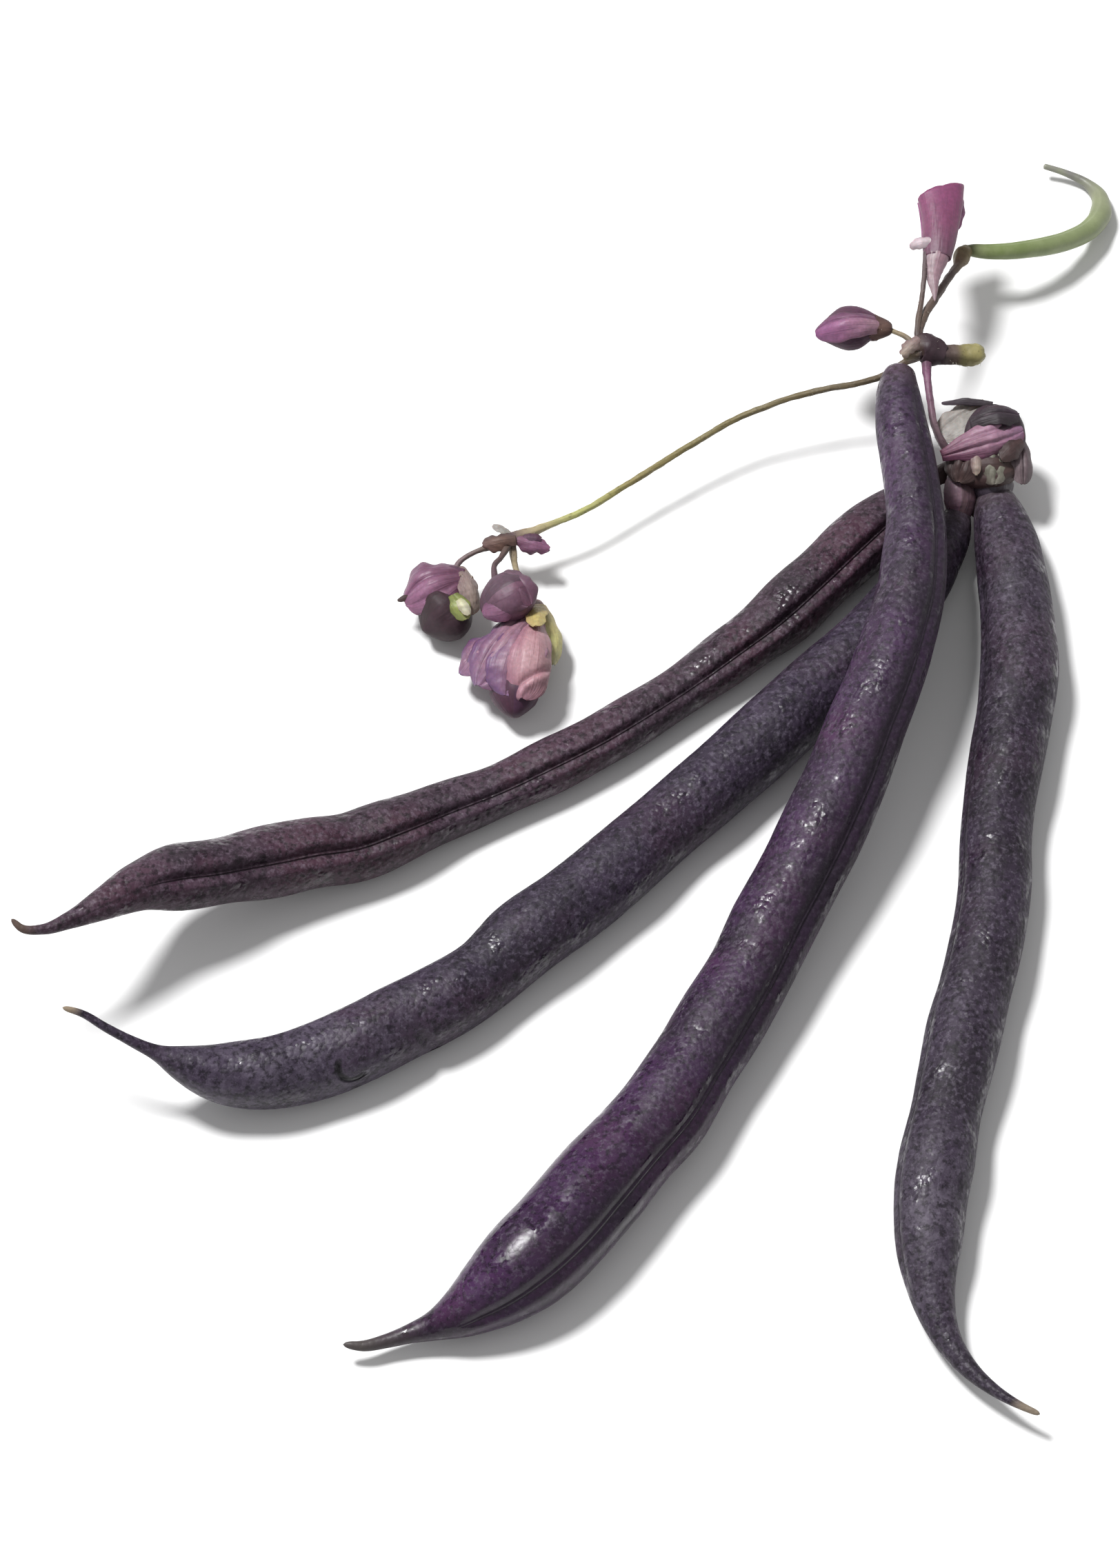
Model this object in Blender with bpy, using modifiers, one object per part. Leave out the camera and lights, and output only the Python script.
"""Royalty purple pod bean: one cut raceme with four ripe pods, lying on a table.

Metres, +Z up, table top at z = 0. X runs to the right and Y away from the viewer.
Lengths and points below are in millimetres and are turned into metres by MM.
Every grown piece is one closed body: pods, young pod, stem, and one body for each bloom.
"""
import math

import bmesh
import bpy
import numpy as np
from mathutils import Vector

MM = 0.001

# The points below are measured from the middle of the pile; this shift brings
# the middle of the whole raceme's footprint to the origin.
FOOTPRINT_MIDDLE = (3.1, 2.6, 0.0)

# Ripe pods: (x, y, z, radius) from the stalk end to the tip of the beak.
POD_1 = [
    (43.6, 39.2, 3.6, 1.3), (42.0, 37.2, 3.6, 2.3), (38.8, 34.3, 3.6, 3.4), (34.8, 30.2, 3.6, 3.8),
    (29.8, 24.8, 3.6, 3.9), (24.8, 19.7, 3.4, 3.7), (19.9, 15.6, 3.1, 3.3), (14.9, 11.6, 2.8, 3.0),
    (10.4, 8.2, 2.8, 3.0), (4.4, 4.0, 2.9, 3.2), (-1.1, 0.7, 3.0, 3.2), (-7.6, -2.8, 2.9, 3.15),
    (-13.5, -5.6, 3.2, 3.4), (-19.0, -8.5, 3.8, 4.0), (-24.0, -10.8, 4.1, 4.0),
    (-28.5, -12.0, 4.9, 4.3), (-32.5, -13.4, 5.7, 4.15), (-36.2, -14.9, 6.9, 3.95),
    (-40.0, -16.6, 8.5, 3.9), (-44.0, -18.2, 10.2, 3.6), (-47.5, -20.3, 12.0, 2.8),
    (-51.0, -23.2, 13.5, 1.9), (-54.8, -26.0, 14.6, 1.0), (-57.7, -27.5, 15.2, 0.6),
    (-60.0, -27.6, 15.6, 0.45), (-61.2, -26.6, 16.0, 0.3),
]
POD_2 = [
    (47.4, 35.6, 3.3, 1.3), (46.3, 32.6, 3.5, 2.4), (43.9, 28.2, 3.7, 3.4), (40.6, 22.7, 3.8, 3.9),
    (35.6, 16.4, 4.0, 4.1), (29.6, 10.1, 4.1, 4.3), (24.0, 4.0, 4.2, 4.4), (18.0, -2.0, 4.1, 4.3),
    (12.5, -7.3, 4.0, 4.2), (7.0, -12.9, 4.2, 4.4), (1.5, -18.0, 4.3, 4.5), (-4.0, -22.5, 4.3, 4.55),
    (-8.6, -27.1, 4.0, 4.2), (-13.5, -30.7, 4.2, 4.4), (-18.0, -33.3, 4.2, 4.4),
    (-22.5, -35.9, 4.2, 4.4), (-27.2, -38.2, 4.3, 4.35), (-31.8, -39.8, 4.6, 4.1),
    (-35.7, -40.4, 5.2, 3.6), (-39.5, -40.7, 6.4, 2.7), (-42.5, -40.6, 7.8, 1.9),
    (-45.1, -40.1, 9.2, 1.25), (-47.6, -39.4, 10.6, 0.8), (-50.6, -38.2, 12.0, 0.6),
    (-53.1, -36.9, 12.9, 0.45), (-55.3, -36.4, 13.4, 0.3),
]
POD_3 = [
    (40.4, 50.3, 11.6, 1.5), (39.9, 47.4, 11.8, 2.2), (40.0, 42.5, 12.0, 2.8), (40.6, 37.6, 12.1, 2.95),
    (41.1, 32.6, 12.1, 3.05), (41.4, 28.0, 12.0, 3.25), (41.1, 23.2, 12.0, 3.7), (40.6, 18.5, 11.9, 4.05),
    (39.3, 13.6, 11.5, 4.2), (37.5, 8.0, 10.8, 4.4), (35.1, 2.0, 9.9, 4.6), (32.6, -4.6, 8.8, 4.8),
    (30.0, -10.2, 7.7, 4.9), (27.2, -16.0, 6.8, 4.9), (24.1, -22.0, 6.0, 4.9), (21.3, -28.0, 5.4, 4.9),
    (18.1, -33.7, 5.0, 5.0), (14.8, -39.5, 4.8, 5.0), (11.4, -45.4, 4.9, 5.2), (7.3, -50.5, 4.9, 5.3),
    (3.3, -55.7, 5.1, 5.6), (-0.6, -60.6, 5.0, 5.65), (-4.3, -64.3, 4.7, 5.25), (-8.1, -67.3, 4.0, 4.1),
    (-11.3, -69.3, 3.4, 2.7), (-13.8, -70.3, 2.8, 1.7), (-16.4, -71.1, 2.5, 1.1),
    (-19.0, -71.9, 2.3, 0.8), (-21.6, -72.6, 2.5, 0.6), (-23.8, -72.6, 2.9, 0.35),
]
POD_4 = [
    (51.1, 37.6, 4.3, 2.0), (51.8, 34.7, 4.2, 2.95), (52.6, 30.8, 4.0, 3.8), (53.1, 26.4, 3.9, 4.1),
    (53.5, 21.6, 4.0, 4.3), (53.6, 16.9, 4.2, 4.5), (53.5, 12.6, 4.3, 4.6), (52.8, 7.4, 4.2, 4.45),
    (51.6, 0.9, 4.1, 4.35), (50.5, -5.4, 3.9, 4.15), (49.9, -10.9, 3.9, 4.1), (49.6, -16.4, 4.0, 4.2),
    (48.5, -22.7, 4.0, 4.2), (47.0, -28.9, 3.9, 4.15), (45.6, -34.2, 4.1, 4.3), (44.2, -40.2, 4.0, 4.15),
    (43.0, -45.3, 3.9, 4.0), (41.9, -50.8, 4.1, 4.25), (41.1, -55.4, 3.9, 4.1), (40.8, -59.6, 3.7, 3.8),
    (40.7, -63.7, 3.4, 3.1), (41.2, -68.0, 3.1, 2.3), (42.4, -71.8, 2.9, 1.6), (44.5, -75.3, 3.0, 1.1),
    (47.3, -78.2, 3.3, 0.7), (50.0, -80.2, 3.7, 0.45), (52.2, -81.4, 3.9, 0.3),
]
# Each pod's seam side, as a direction out of the pod, and how deep its seam is pressed in.
PODS = {
    "pod_1": {"route": POD_1, "seam": (0.29, -0.50, 0.82), "groove": 0.75, "seeds": 11},
    "pod_2": {"route": POD_2, "seam": (-0.45, 0.75, 0.45), "groove": 0.30, "seeds": 11},
    "pod_3": {"route": POD_3, "seam": (0.59, -0.52, 0.63), "groove": 0.45, "seeds": 12},
    "pod_4": {"route": POD_4, "seam": (-0.90, 0.00, 0.35), "groove": 0.25, "seeds": 10},
}
POD_STATIONS = 58
SEAM_ANGLES = (0, 13, 30, 54, 79, 104, 129, 155)  # degrees round from the seam, mirrored
SEED_SWELL = 0.04  # how far a seed swells the wall, as a share of the radius
SEED_BODY_RADIUS = 2.6  # no seeds where the pod is thinner than this
GROOVE_SPREAD = 9.0  # degrees
BACK_RIDGE = 0.18  # the far seam stands out by this much

# Young pod: (x, y, z, radius) from its calyx to the end of the dry thread.
YOUNG_POD = [
    (49.85, 69.6, 8.2, 0.6), (51.0, 69.5, 8.1, 0.95), (53.1, 69.7, 7.8, 1.1), (57.4, 71.1, 6.6, 1.15),
    (61.8, 73.7, 4.6, 1.15), (64.8, 76.7, 2.9, 1.25), (66.2, 79.8, 1.8, 1.3), (66.1, 82.5, 1.3, 1.0),
    (64.6, 84.6, 1.2, 0.6), (62.1, 85.8, 1.6, 0.42), (59.4, 86.5, 2.1, 0.35),
]

# Stems: centre-line points with a radius at each.
KNOT = [
    (42.0, 52.3, 12.4, 0.9), (42.9, 52.7, 12.4, 1.6), (44.0, 52.4, 12.1, 1.75), (45.6, 51.9, 11.8, 1.25),
]
CUT_STUB = [
    (45.0, 51.9, 11.8, 1.2), (47.2, 52.2, 11.5, 1.25), (48.8, 52.4, 11.3, 1.35), (50.0, 52.6, 11.2, 1.1),
]
STALK = [
    (43.5, 51.6, 11.9, 0.6), (43.5, 49.0, 11.5, 0.46), (43.8, 46.0, 10.8, 0.44), (44.3, 43.2, 9.9, 0.46),
    (45.7, 41.2, 8.0, 0.55), (48.2, 41.0, 6.0, 0.8),
]
STALK_POD_1 = [(48.2, 41.0, 6.0, 0.75), (46.4, 40.8, 4.8, 0.7), (44.6, 40.2, 3.9, 0.7)]
STALK_POD_2 = [(48.2, 41.0, 6.0, 0.75), (48.4, 39.0, 4.4, 0.7), (47.9, 37.3, 3.5, 0.7)]
STALK_POD_4 = [(48.2, 41.0, 6.0, 0.75), (49.8, 40.6, 5.2, 0.75), (50.7, 39.4, 4.6, 0.85)]
STALK_POD_3 = [(42.8, 52.0, 12.3, 0.8), (41.4, 51.9, 12.2, 0.75), (40.9, 51.95, 11.9, 0.7)]
STEM_THIN = [
    (42.4, 52.4, 12.6, 0.45), (42.2, 56.0, 13.2, 0.35), (42.7, 59.4, 13.6, 0.34), (43.2, 62.0, 13.8, 0.4),
]
STEM_BROWN = [
    (42.6, 52.2, 12.5, 0.5), (42.6, 55.0, 12.5, 0.45), (43.9, 57.8, 12.0, 0.42), (46.0, 61.4, 10.8, 0.45),
    (47.9, 65.8, 9.4, 0.5), (48.0, 68.0, 8.8, 0.75), (48.3, 69.0, 8.5, 0.95), (48.75, 69.3, 8.3, 0.8),
]
STALK_BUD_UPPER = [(42.3, 52.6, 12.7, 0.4), (40.9, 53.9, 12.9, 0.34), (39.6, 54.4, 13.0, 0.34)]
SIDE_STEM = [
    (43.2, 52.2, 11.6, 0.6), (41.2, 52.6, 9.4, 0.45), (38.6, 51.0, 9.0, 0.4), (36.2, 50.0, 9.0, 0.4),
    (31.5, 49.1, 8.8, 0.4), (26.0, 47.7, 8.2, 0.4), (20.5, 45.6, 7.3, 0.4), (15.5, 42.6, 6.6, 0.4),
    (10.5, 39.2, 6.2, 0.4), (6.0, 36.0, 6.0, 0.4), (2.5, 33.6, 6.0, 0.4), (-1.0, 31.9, 6.0, 0.42),
    (-3.6, 30.7, 6.0, 0.6), (-6.0, 29.6, 6.0, 0.85), (-7.6, 29.0, 6.0, 0.6), (-9.2, 28.4, 6.0, 0.36),
    (-11.0, 27.5, 5.8, 0.34), (-12.0, 26.8, 5.5, 0.36),
]
STALK_BUD_MIDDLE = [(-6.0, 29.2, 6.0, 0.5), (-6.9, 26.6, 6.8, 0.34), (-7.4, 24.6, 7.6, 0.34)]
STALK_BLOSSOM_BIG = [
    (-5.6, 29.2, 5.7, 0.5), (-5.2, 26.6, 4.6, 0.36), (-4.2, 24.4, 3.6, 0.34), (-2.9, 22.7, 3.3, 0.36),
]
STEM_RUNS = [
    KNOT, CUT_STUB, STALK, STALK_POD_1, STALK_POD_2, STALK_POD_3, STALK_POD_4, STEM_THIN, STEM_BROWN,
    STALK_BUD_UPPER, SIDE_STEM, STALK_BUD_MIDDLE, STALK_BLOSSOM_BIG,
]
STEM_STEP = 1.6  # mm between the points of a stem's curve
TUBE_ROUNDNESS = 1  # bevel resolution: six sides round a stem

PETAL = 0.7  # thickness of every petal, hood and bract blade

# Finish of each piece: base colour, roughness.
FINISHES = {
    "pod_red_purple": ((0.085, 0.040, 0.060), 0.42),
    "pod_grey_purple": ((0.075, 0.050, 0.080), 0.45),
    "pod_violet": ((0.095, 0.035, 0.115), 0.30),
    "stem": ((0.180, 0.110, 0.070), 0.60),
    "young_green": ((0.240, 0.320, 0.110), 0.45),
    "petal_pink": ((0.480, 0.130, 0.300), 0.55),
    "petal_lilac": ((0.420, 0.280, 0.500), 0.55),
    "petal_dark": ((0.110, 0.030, 0.080), 0.50),
}


def clear_scene():
    for item in list(bpy.data.objects):
        bpy.data.objects.remove(item, do_unlink=True)


def along(rows, count):
    """Rows of numbers drawn smoothly through hand-set ones, evenly spaced along the line."""
    rows = np.array(rows, float)
    hops = np.linalg.norm(np.diff(rows[:, :3], axis=0), axis=1)
    knots = np.concatenate([[0.0], np.cumsum(hops)])
    slopes = np.gradient(rows, knots, axis=0)
    fine = np.linspace(0.0, knots[-1], 40 * len(rows))
    span = np.clip(np.searchsorted(knots, fine, side="right") - 1, 0, len(knots) - 2)
    step = (knots[span + 1] - knots[span])[:, None]
    t = (fine - knots[span])[:, None] / step
    smooth = (2 * t**3 - 3 * t**2 + 1) * rows[span] + (t**3 - 2 * t**2 + t) * step * slopes[span]
    smooth += (3 * t**2 - 2 * t**3) * rows[span + 1] + (t**3 - t**2) * step * slopes[span + 1]
    hops = np.linalg.norm(np.diff(smooth[:, :3], axis=0), axis=1)
    length = np.concatenate([[0.0], np.cumsum(hops)])
    even = np.linspace(0.0, length[-1], count)
    return np.stack([np.interp(even, length, column) for column in smooth.T], axis=1)


def unit(vectors):
    return vectors / np.linalg.norm(vectors, axis=-1, keepdims=True)


def ring_axes(centres, out_hint):
    """For each centre, the direction across the line nearest out_hint, and the one square to it."""
    tangent = unit(np.gradient(centres, axis=0))
    hint = np.array(out_hint, float)
    out = unit(hint - tangent * (tangent @ hint)[:, None])
    return out, np.cross(tangent, out)


def add_object(name, mesh, finish):
    item = bpy.data.objects.new(name, mesh)
    bpy.context.scene.collection.objects.link(item)
    if finish:
        mesh.materials.clear()
        mesh.materials.append(bpy.data.materials[finish])
    return item


def loft(name, rings, finish=None):
    """A closed skin over rings of points, each end closed on the middle of its ring."""
    bm = bmesh.new()
    loops = [[bm.verts.new(Vector(point) * MM) for point in ring] for ring in rings]
    sides = len(loops[0])
    for near, far in zip(loops, loops[1:]):
        for i in range(sides):
            j = (i + 1) % sides
            bm.faces.new((near[i], near[j], far[j], far[i]))
    for loop, ring in ((loops[0], rings[0]), (loops[-1], rings[-1])):
        middle = bm.verts.new(Vector(np.mean(ring, axis=0)) * MM)
        for i in range(sides):
            bm.faces.new((middle, loop[i], loop[(i + 1) % sides]))
    bmesh.ops.triangulate(bm, faces=bm.faces)
    bmesh.ops.recalc_face_normals(bm, faces=bm.faces)
    mesh = bpy.data.meshes.new(name)
    bm.to_mesh(mesh)
    bm.free()
    mesh.shade_smooth()
    return add_object(name, mesh, finish)


def pod(name, route, seam, groove, seeds, finish):
    """A ripe pod: seeds swell its flanks, one seam is pressed in, and it lies flat where it touches."""
    stations = along(route, POD_STATIONS)
    centres, radii = stations[:, :3], stations[:, 3]
    out, side = ring_axes(centres, seam)
    half = np.radians(SEAM_ANGLES)
    angles = np.concatenate([half, [math.pi], -half[:0:-1]])
    body = np.clip((radii - SEED_BODY_RADIUS) / SEED_BODY_RADIUS * 3.0, 0.0, 1.0)
    rings = []
    for k in range(POD_STATIONS):
        beat = math.cos(2.0 * math.pi * seeds * k / POD_STATIONS)
        swell = 1.0 + SEED_SWELL * body[k] * beat * np.sin(angles) ** 2
        dent = groove * body[k] * np.exp(-((np.degrees(angles) / GROOVE_SPREAD) ** 2))
        ridge = BACK_RIDGE * body[k] * (np.abs(angles) > math.radians(170))
        reach = radii[k] * swell - dent + ridge
        ring = centres[k] + np.outer(np.cos(angles) * reach, out[k])
        ring += np.outer(np.sin(angles) * reach, side[k])
        ring[:, 2] = np.maximum(ring[:, 2], 0.0)
        rings.append(ring)
    return loft(name, rings, finish)


def round_body(name, route, sides, count, flat=1.0, out_hint=(0, 0, 1), finish=None):
    """A plump or slender body along a route, flattened across out_hint by flat."""
    stations = along(route, count)
    out, side = ring_axes(stations[:, :3], out_hint)
    turn = np.arange(sides) * 2.0 * math.pi / sides
    rings = []
    for centre, radius, o, s in zip(stations[:, :3], stations[:, 3], out, side):
        ring = centre + np.outer(np.cos(turn) * radius * flat, o) + np.outer(np.sin(turn) * radius, s)
        ring[:, 2] = np.maximum(ring[:, 2], 0.0)
        rings.append(ring)
    return loft(name, rings, finish)


def tube(name, route):
    """A stem: a poly curve with a round bevel and filled caps, turned into a welded mesh."""
    length = sum(math.dist(a[:3], b[:3]) for a, b in zip(route, route[1:]))
    points = along(route, max(3, round(length / STEM_STEP) + 1))
    curve = bpy.data.curves.new(name, "CURVE")
    curve.dimensions = "3D"
    curve.bevel_depth = MM
    curve.bevel_resolution = TUBE_ROUNDNESS
    curve.use_fill_caps = True
    spline = curve.splines.new("POLY")
    spline.points.add(len(points) - 1)
    for target, (x, y, z, radius) in zip(spline.points, points):
        target.co = (x * MM, y * MM, z * MM, 1.0)
        target.radius = radius
    guide = bpy.data.objects.new(name, curve)
    bpy.context.scene.collection.objects.link(guide)
    return as_mesh(guide)


def as_mesh(source):
    """The object's evaluated shape as a plain welded mesh object of the same name."""
    graph = bpy.context.evaluated_depsgraph_get()
    mesh = bpy.data.meshes.new_from_object(source.evaluated_get(graph))
    bm = bmesh.new()
    bm.from_mesh(mesh)
    bmesh.ops.remove_doubles(bm, verts=bm.verts, dist=0.00001)
    bmesh.ops.triangulate(bm, faces=bm.faces)
    bmesh.ops.recalc_face_normals(bm, faces=bm.faces)
    bm.to_mesh(mesh)
    bm.free()
    name, place = source.name, source.matrix_world.copy()
    bpy.data.objects.remove(source, do_unlink=True)
    made = add_object(name, mesh, None)
    made.matrix_world = place
    return made


def petal(name, base, tip, face, width, wrap=0.0, bend=0.0, claw=0.3, widest=0.6, rows=6, columns=4):
    """A blade from base to tip: wrap cups it across, bend arches it along, face is its outer side."""
    base, tip = np.array(base, float), np.array(tip, float)
    chord = np.linalg.norm(tip - base)
    forward = (tip - base) / chord
    up = np.array(face, float)
    up = unit(up - forward * (up @ forward))
    across = np.cross(forward, up)
    points = []
    for i in range(rows + 1):
        u = 0.985 * i / rows
        swell = min(1.0, u / widest)
        half_width = width / 2.0 * (claw + (1.0 - claw) * math.sin(swell * math.pi / 2.0))
        if u > widest:
            half_width *= math.sqrt(1.0 - ((u - widest) / (1.0 - widest)) ** 2)
        rise = bend * math.sin(math.pi * u)
        for j in range(columns + 1):
            v = 2.0 * j / columns - 1.0
            drop = wrap * v * v * half_width * 2.0 / width
            points.append(base + forward * (chord * u) + across * (half_width * v) + up * (rise - drop))
    bm = bmesh.new()
    verts = [bm.verts.new(Vector(point) * MM) for point in points]
    for i in range(rows):
        for j in range(columns):
            a = i * (columns + 1) + j
            bm.faces.new((verts[a], verts[a + 1], verts[a + columns + 2], verts[a + columns + 1]))
    bmesh.ops.triangulate(bm, faces=bm.faces)
    mesh = bpy.data.meshes.new(name)
    bm.to_mesh(mesh)
    bm.free()
    blade = add_object(name, mesh, None)
    wall = blade.modifiers.new("blade thickness", "SOLIDIFY")
    wall.thickness = PETAL * MM
    wall.offset = 0.0
    wall.use_even_offset = True
    return as_mesh(blade)


def bract(name, base, tip, face, width):
    """One of the stem's small scales."""
    return petal(name, base, tip, face, width, wrap=0.2, bend=0.3, rows=3, columns=2)


def keep_largest_shell(bm):
    """Drops every loose scrap and every sealed hollow, so that one outer skin is left."""
    unseen = set(bm.faces)
    shells = []
    while unseen:
        front = [unseen.pop()]
        shell = []
        while front:
            face = front.pop()
            shell.append(face)
            for edge in face.edges:
                for other in edge.link_faces:
                    if other in unseen:
                        unseen.remove(other)
                        front.append(other)
        shells.append(shell)
    shells.sort(key=len)
    for shell in shells[:-1]:
        bmesh.ops.delete(bm, geom=shell, context="FACES")


def fuse(name, pieces, finish):
    """One closed body from pieces that run into each other."""
    body, rest = pieces[0], pieces[1:]
    group = bpy.data.collections.new(name + " pieces")
    for piece in rest:
        group.objects.link(piece)
    union = body.modifiers.new("union", "BOOLEAN")
    union.operation = "UNION"
    union.operand_type = "COLLECTION"
    union.collection = group
    union.solver = "EXACT"
    graph = bpy.context.evaluated_depsgraph_get()
    mesh = bpy.data.meshes.new_from_object(body.evaluated_get(graph))
    for piece in [body] + rest:
        bpy.data.objects.remove(piece, do_unlink=True)
    bpy.data.collections.remove(group)
    bm = bmesh.new()
    bm.from_mesh(mesh)
    bmesh.ops.remove_doubles(bm, verts=bm.verts, dist=0.00001)
    bmesh.ops.triangulate(bm, faces=bm.faces)
    keep_largest_shell(bm)
    bm.to_mesh(mesh)
    bm.free()
    mesh.name = name
    return add_object(name, mesh, finish)


def raceme_stem():
    """Knot, cut stub, stalks and the long side stem, grown together, with the bracts at the side node."""
    runs = [tube(f"stem run {i}", run) for i, run in enumerate(STEM_RUNS)]
    bracts = [
        bract("bract a", (-6.0, 29.5, 6.1), (-1.2, 28.9, 5.9), (0, -0.4, 1), 1.8),
        bract("bract b", (-5.5, 29.8, 6.3), (-9.0, 29.6, 6.5), (0, 0.2, 1), 1.5),
        bract("bract c", (43.2, 61.4, 13.7), (41.4, 64.4, 13.5), (0, -0.3, 1), 1.3),
    ]
    return fuse("raceme_stem", runs + bracts, "stem")


def calyx(name, base, toward, radius, length, teeth=5):
    """A toothed cup round the foot of a bloom, filled so that it fuses with what it holds."""
    base, toward = np.array(base, float), unit(np.array(toward, float))
    out = unit(np.cross(toward, (0.3, 0.2, 1.0)))
    side = np.cross(toward, out)
    turn = np.arange(2 * teeth) * math.pi / teeth
    tooth = np.where(np.arange(2 * teeth) % 2 == 0, 1.0, 0.62)
    rings = []
    for share, swell in ((0.0, 0.42), (0.3, 0.85), (1.0, 1.0)):
        reach = radius * swell
        height = length * share * (tooth if share == 1.0 else 1.0)
        ring = base + np.outer(np.cos(turn) * reach, out) + np.outer(np.sin(turn) * reach, side)
        rings.append(ring + np.outer(np.ones(2 * teeth) * height, toward))
    return loft(name, rings)


def blooms():
    """Every bud and blossom, one fused body each."""
    fuse("bud_upper", [
        round_body("body", [(38.0, 54.6, 13.0, 1.6), (36.8, 55.0, 13.0, 2.3), (35.2, 55.2, 13.0, 2.6),
                            (33.4, 55.0, 12.9, 2.4), (31.9, 54.5, 12.8, 1.6), (30.7, 53.9, 12.8, 0.4)],
                   12, 9, 0.95),
        petal("hood", (37.4, 54.4, 14.9), (30.9, 53.3, 13.2), (0, -0.35, 1), 4.2, 1.2, 0.7, 0.5, 0.55),
        calyx("cup", (38.9, 54.5, 13.0), (-1, 0.12, 0), 2.8, 2.6),
    ], "petal_pink")
    fuse("bud_low_middle", [
        round_body("body", [(-8.9, 19.3, 7.3, 1.1), (-8.1, 19.9, 7.4, 2.1), (-6.5, 20.8, 7.5, 2.7),
                            (-4.8, 21.6, 7.5, 2.7), (-3.5, 22.2, 7.4, 2.1), (-2.8, 22.6, 7.4, 1.0)],
                   12, 9, 0.95),
        petal("fold", (-6.6, 22.4, 9.6), (-3.5, 19.0, 8.6), (0.2, -0.4, 1), 3.6, 1.1, 0.8, 0.5, 0.5),
    ], "petal_dark")
    fuse("bud_low_left", [
        round_body("body", [(-11.3, 23.7, 4.4, 1.2), (-11.9, 22.8, 4.1, 2.4), (-12.9, 21.6, 3.7, 3.3),
                            (-14.2, 20.4, 3.5, 3.3), (-15.4, 19.4, 3.4, 2.4), (-16.1, 18.8, 3.4, 1.0)],
                   12, 9, 1.0),
        petal("hood", (-11.5, 24.7, 6.1), (-18.1, 22.4, 4.4), (-0.2, 0.1, 1), 5.4, 1.6, 1.6, 0.5, 0.5),
        petal("throat", (-11.3, 24.2, 6.1), (-10.9, 19.6, 5.3), (0.7, -0.3, 1), 2.4, 0.5, 0.8, 0.6, 0.5),
        calyx("cup", (-12.0, 25.3, 5.0), (0.22, -1, -0.2), 1.9, 2.6),
    ], "petal_pink")
    fuse("blossom_big", [
        round_body("keel", [(-2.6, 19.4, 3.5, 1.2), (-3.5, 17.6, 3.5, 2.3), (-4.4, 14.6, 3.6, 3.0),
                            (-5.5, 11.6, 3.7, 3.4), (-5.95, 9.4, 3.6, 3.2), (-6.1, 7.7, 3.4, 2.0)],
                   12, 9, 1.0),
        petal("banner", (-3.2, 18.6, 5.2), (-9.0, 9.8, 4.8), (-0.3, -0.2, 1), 6.0, 1.5, 2.0, 0.45, 0.55),
        petal("lobe", (-6.2, 16.0, 5.4), (-11.2, 12.4, 3.4), (-0.5, 0.2, 1), 4.2, 0.9, 1.2, 0.5, 0.6),
        petal("wing", (-2.2, 18.0, 5.6), (-4.0, 7.6, 5.4), (0.15, -0.3, 1), 5.0, 1.5, 2.3, 0.45, 0.65),
        petal("calyx leaf", (-2.6, 20.4, 4.3), (-1.2, 13.8, 3.8), (0.8, 0, 1), 3.0, 0.8, 1.0, 0.5, 0.4),
        calyx("cup", (-2.9, 22.1, 3.4), (0.05, -1, 0.05), 1.8, 3.4),
    ], "petal_lilac")
    fuse("blossom_top", [
        round_body("tube", [(44.5, 61.2, 13.1, 0.5), (44.7, 62.7, 13.5, 0.85), (45.1, 64.6, 13.9, 1.6),
                            (45.5, 66.8, 14.0, 1.7), (45.8, 68.6, 14.0, 1.1)],
                   10, 8, 0.9),
        petal("front", (45.0, 64.0, 14.6), (44.5, 72.6, 15.2), (-0.1, -0.3, 1), 4.4, 1.4, 0.6, 0.6, 0.95),
        petal("back", (45.8, 64.4, 13.6), (47.0, 75.2, 13.2), (0.1, -0.3, 1), 4.0, 0.9, -0.4, 0.55, 0.97),
    ], "petal_pink")
    fuse("blossom_joint", [
        round_body("body", [(46.2, 42.9, 9.7, 0.9), (47.8, 43.2, 9.5, 1.8), (49.8, 43.5, 9.3, 2.4),
                            (51.8, 43.4, 9.0, 2.6), (53.4, 42.8, 8.7, 2.1), (54.5, 42.1, 8.4, 0.9)],
                   12, 9, 0.9),
        petal("band", (45.2, 38.9, 9.6), (54.6, 42.0, 9.8), (0.1, -0.6, 1), 3.4, 1.0, 1.6, 0.5, 0.55),
        petal("arch", (51.6, 44.8, 10.2), (45.2, 45.9, 9.2), (0, 0.3, 1), 2.2, 0.5, 0.9, 0.6, 0.5),
        petal("sepal a", (48.6, 41.4, 9.0), (48.4, 35.9, 7.6), (-0.2, -0.3, 1), 3.6, 0.6, 0.8, 0.6, 0.5),
        petal("sepal b", (51.4, 41.6, 8.8), (51.6, 36.2, 8.6), (0, -0.5, 1), 3.6, 0.7, 0.7, 0.6, 0.5),
        petal("sepal c", (53.6, 41.6, 8.4), (54.8, 37.0, 7.2), (0.4, -0.5, 1), 3.2, 0.7, 0.6, 0.6, 0.5),
    ], "petal_pink")


def make_finishes():
    for name, (colour, roughness) in FINISHES.items():
        material = bpy.data.materials.new(name)
        material.use_nodes = True
        shader = material.node_tree.nodes["Principled BSDF"]
        shader.inputs["Base Color"].default_value = (*colour, 1.0)
        shader.inputs["Roughness"].default_value = roughness
        shader.inputs["Metallic"].default_value = 0.0


def gather():
    """Puts every piece in one collection under an empty that brings the footprint to the origin."""
    collection = bpy.data.collections.new("royalty purple pod bean")
    bpy.context.scene.collection.children.link(collection)
    root = bpy.data.objects.new("raceme", None)
    root.location = -Vector(FOOTPRINT_MIDDLE) * MM
    pieces = [item for item in bpy.data.objects if item.type == "MESH"]
    collection.objects.link(root)
    for item in pieces:
        item.parent = root
        bpy.context.scene.collection.objects.unlink(item)
        collection.objects.link(item)


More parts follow.
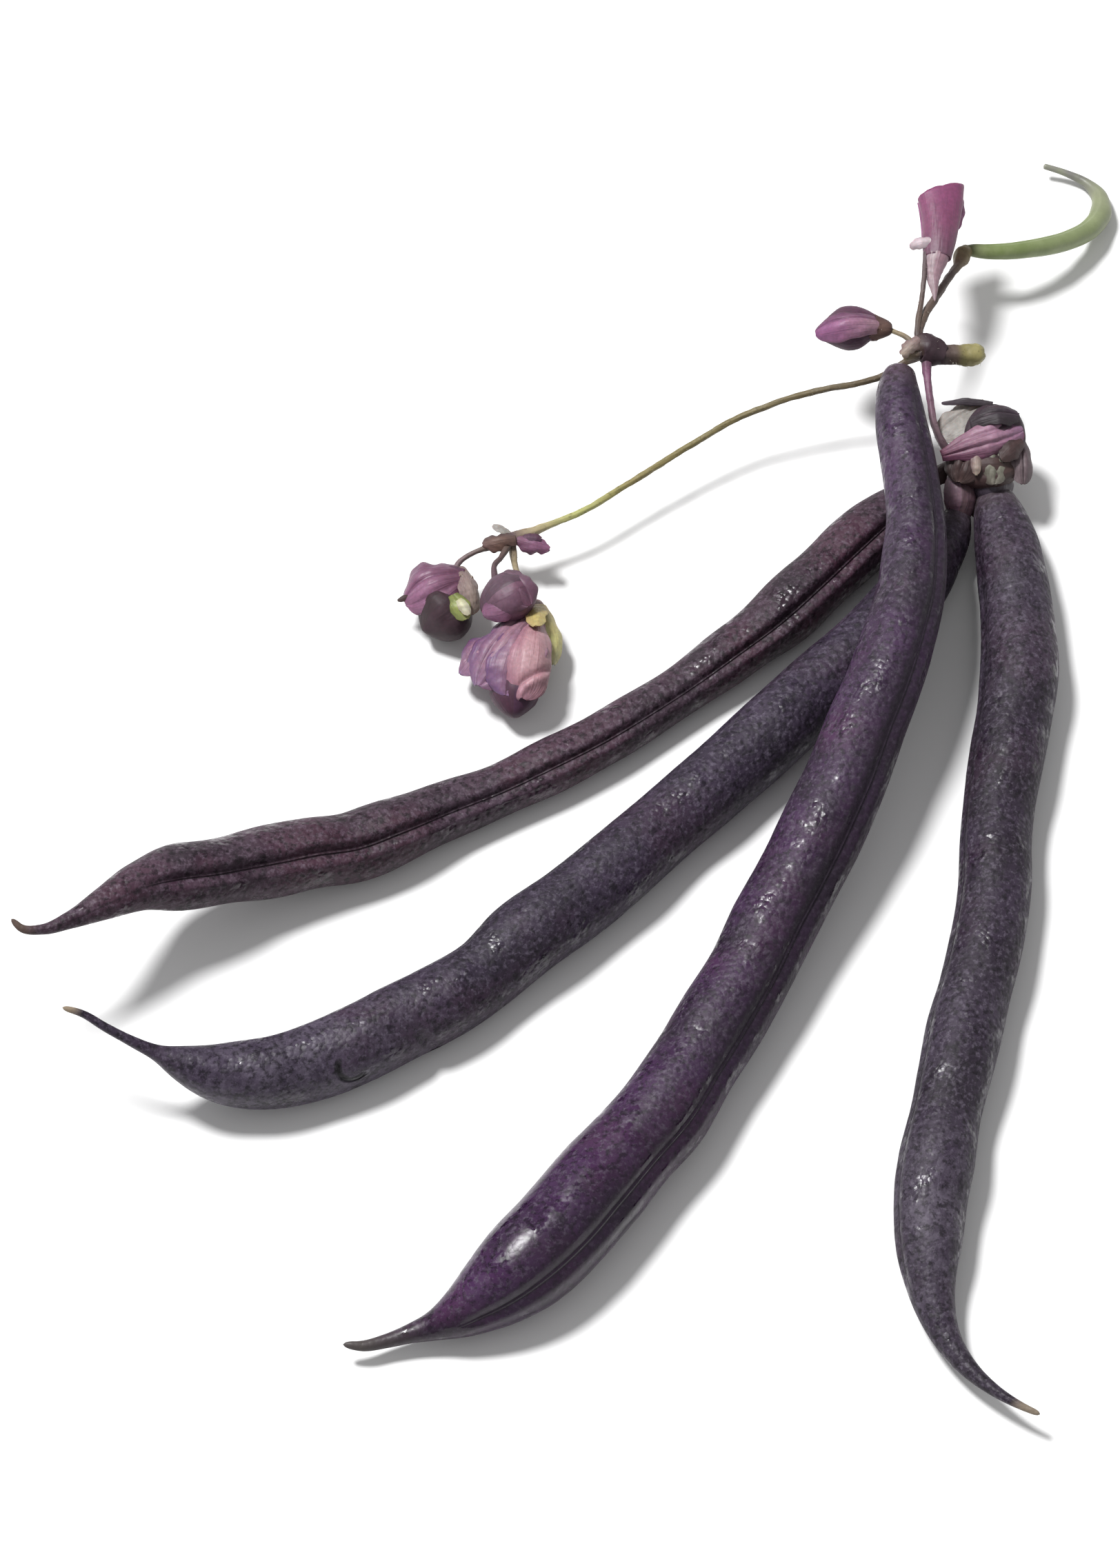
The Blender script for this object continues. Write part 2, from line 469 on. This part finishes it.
def main():
    clear_scene()
    make_finishes()
    finishes = {"pod_1": "pod_red_purple", "pod_3": "pod_violet"}
    for name, shape in PODS.items():
        pod(name, finish=finishes.get(name, "pod_grey_purple"), **shape)
    round_body("young_pod", YOUNG_POD, 8, 26, 0.9, finish="young_green")
    raceme_stem()
    blooms()
    gather()


main()
